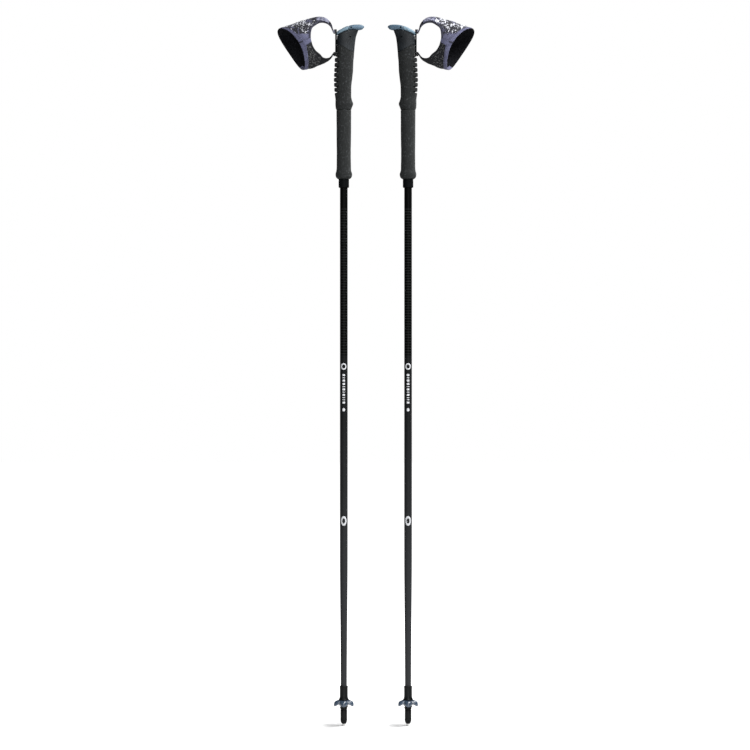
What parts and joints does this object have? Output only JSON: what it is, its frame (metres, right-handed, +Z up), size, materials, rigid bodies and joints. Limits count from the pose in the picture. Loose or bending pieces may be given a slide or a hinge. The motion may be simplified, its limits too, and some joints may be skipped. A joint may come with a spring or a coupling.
{
  "type": "pair of trekking poles",
  "caption": "Pair of upright fixed-length carbon trekking poles with foam grips, horned caps, click-in fabric hand straps and small star baskets.",
  "frame": {"origin": "on the ground midway between the two tips", "axes": "+Z up along the shafts, +X from the left pole to the right pole, -Y towards the viewer who sees the straps from the side"},
  "size_m": [0.3384, 0.0599, 1.2145],
  "materials": {
    "carbon_shaft": "glossy black carbon tube with fine light rings on its upper half, satin dark grey below",
    "grip_foam": "matt speckled dark grey foam",
    "head_plastic": "satin dark grey plastic",
    "black_plastic": "matt black moulded plastic",
    "blue_plastic": "satin slate-blue plastic",
    "lever_plastic": "satin lighter slate-blue plastic",
    "steel": "plain steel",
    "carbide": "bright hard metal",
    "printed_fabric": "woven fabric printed with an irregular black and white pattern",
    "palm_mesh": "black mesh with light flecks",
    "hem_fabric": "purple-grey folded hem"
  },
  "bodies": {
    "left_pole": {"left_shaft": "carbon_shaft", "left_ferrule": "black_plastic", "left_grip_collar": "black_plastic", "left_grip_extension": "grip_foam", "left_upper_grip": "grip_foam", "left_grip_head": "head_plastic", "left_cap_horn": "blue_plastic", "left_lever_pin": "steel", "left_pawl_pin": "steel", "left_latch_spring": "steel"},
    "left_lever": {"left_release_lever": "lever_plastic"},
    "left_pawl": {"left_latch_pawl": "steel"},
    "left_clip": {"left_strap_clip": "black_plastic"},
    "left_wrap": {"left_wrap_back_panel": "printed_fabric", "left_wrap_palm_panel": "palm_mesh", "left_wrist_binding": "hem_fabric", "left_upper_strap": "printed_fabric", "left_palm_strap": "palm_mesh", "left_closure_tab": "hem_fabric"},
    "left_basket_ring": {"left_basket": "blue_plastic"},
    "left_tip": {"left_carbide_tip": "carbide", "left_tip_body": "black_plastic"},
    "right_pole": {"right_shaft": "carbon_shaft", "right_ferrule": "black_plastic", "right_grip_collar": "black_plastic", "right_grip_extension": "grip_foam", "right_upper_grip": "grip_foam", "right_grip_head": "head_plastic", "right_cap_horn": "blue_plastic", "right_lever_pin": "steel", "right_pawl_pin": "steel", "right_latch_spring": "steel"},
    "right_lever": {"right_release_lever": "lever_plastic"},
    "right_pawl": {"right_latch_pawl": "steel"},
    "right_clip": {"right_strap_clip": "black_plastic"},
    "right_wrap": {"right_wrap_back_panel": "printed_fabric", "right_wrap_palm_panel": "palm_mesh", "right_wrist_binding": "hem_fabric", "right_upper_strap": "printed_fabric", "right_palm_strap": "palm_mesh", "right_closure_tab": "hem_fabric"},
    "right_basket_ring": {"right_basket": "blue_plastic"},
    "right_tip": {"right_carbide_tip": "carbide", "right_tip_body": "black_plastic"}
  },
  "joints": [
    {"name": "left_lever_press", "type": "hinge", "parent": "left_pole", "child": "left_lever", "pos_m": [-0.0422, 0, 1.194], "axis": [0, -1, 0], "range_deg": [0, 4], "stiffness_Nm_per_rad": 0.3, "springref_deg": -4.01, "deforming": ["left_latch_spring"]},
    {"name": "left_pawl_lift", "type": "hinge", "parent": "left_pole", "child": "left_pawl", "pos_m": [-0.044, 0, 1.178], "axis": [0, 1, 0], "range_deg": [0, 4.8]},
    {"name": "left_strap_unclip", "type": "slide", "parent": "left_pole", "child": "left_clip", "axis": [-1, 0, 0], "range_m": [0, 0.03]},
    {"name": "left_wrap_swing", "type": "hinge", "parent": "left_clip", "child": "left_wrap", "pos_m": [-0.0716, 0, 1.17], "axis": [0, 0, 1], "range_deg": [-40, 40]},
    {"name": "left_basket_turn", "type": "hinge", "parent": "left_pole", "child": "left_basket_ring", "pos_m": [-0.055, 0, 0.04], "axis": [0, 0, 1], "range_deg": [0, 180]},
    {"name": "left_tip_turn", "type": "hinge", "parent": "left_pole", "child": "left_tip", "pos_m": [-0.055, 0, 0.01], "axis": [0, 0, 1], "range_deg": [0, 90]},
    {"name": "right_pole_apart", "type": "slide", "parent": "left_pole", "child": "right_pole", "axis": [1, 0, 0], "range_m": [0, 0.25]},
    {"name": "right_lever_press", "type": "hinge", "parent": "right_pole", "child": "right_lever", "pos_m": [0.0422, 0, 1.194], "axis": [0, 1, 0], "range_deg": [0, 4], "stiffness_Nm_per_rad": 0.3, "springref_deg": -4.01, "deforming": ["right_latch_spring"]},
    {"name": "right_pawl_lift", "type": "hinge", "parent": "right_pole", "child": "right_pawl", "pos_m": [0.044, 0, 1.178], "axis": [0, -1, 0], "range_deg": [0, 4.8]},
    {"name": "right_strap_unclip", "type": "slide", "parent": "right_pole", "child": "right_clip", "axis": [1, 0, 0], "range_m": [0, 0.03]},
    {"name": "right_wrap_swing", "type": "hinge", "parent": "right_clip", "child": "right_wrap", "pos_m": [0.0716, 0, 1.17], "axis": [0, 0, 1], "range_deg": [-40, 40]},
    {"name": "right_basket_turn", "type": "hinge", "parent": "right_pole", "child": "right_basket_ring", "pos_m": [0.055, 0, 0.04], "axis": [0, 0, 1], "range_deg": [0, 180]},
    {"name": "right_tip_turn", "type": "hinge", "parent": "right_pole", "child": "right_tip", "pos_m": [0.055, 0, 0.01], "axis": [0, 0, 1], "range_deg": [0, 90]}
  ],
  "couplings": [
    {"joint": "left_pawl_lift", "follows": "left_lever_press", "ratio": 1.2},
    {"joint": "right_pawl_lift", "follows": "right_lever_press", "ratio": 1.2}
  ]
}
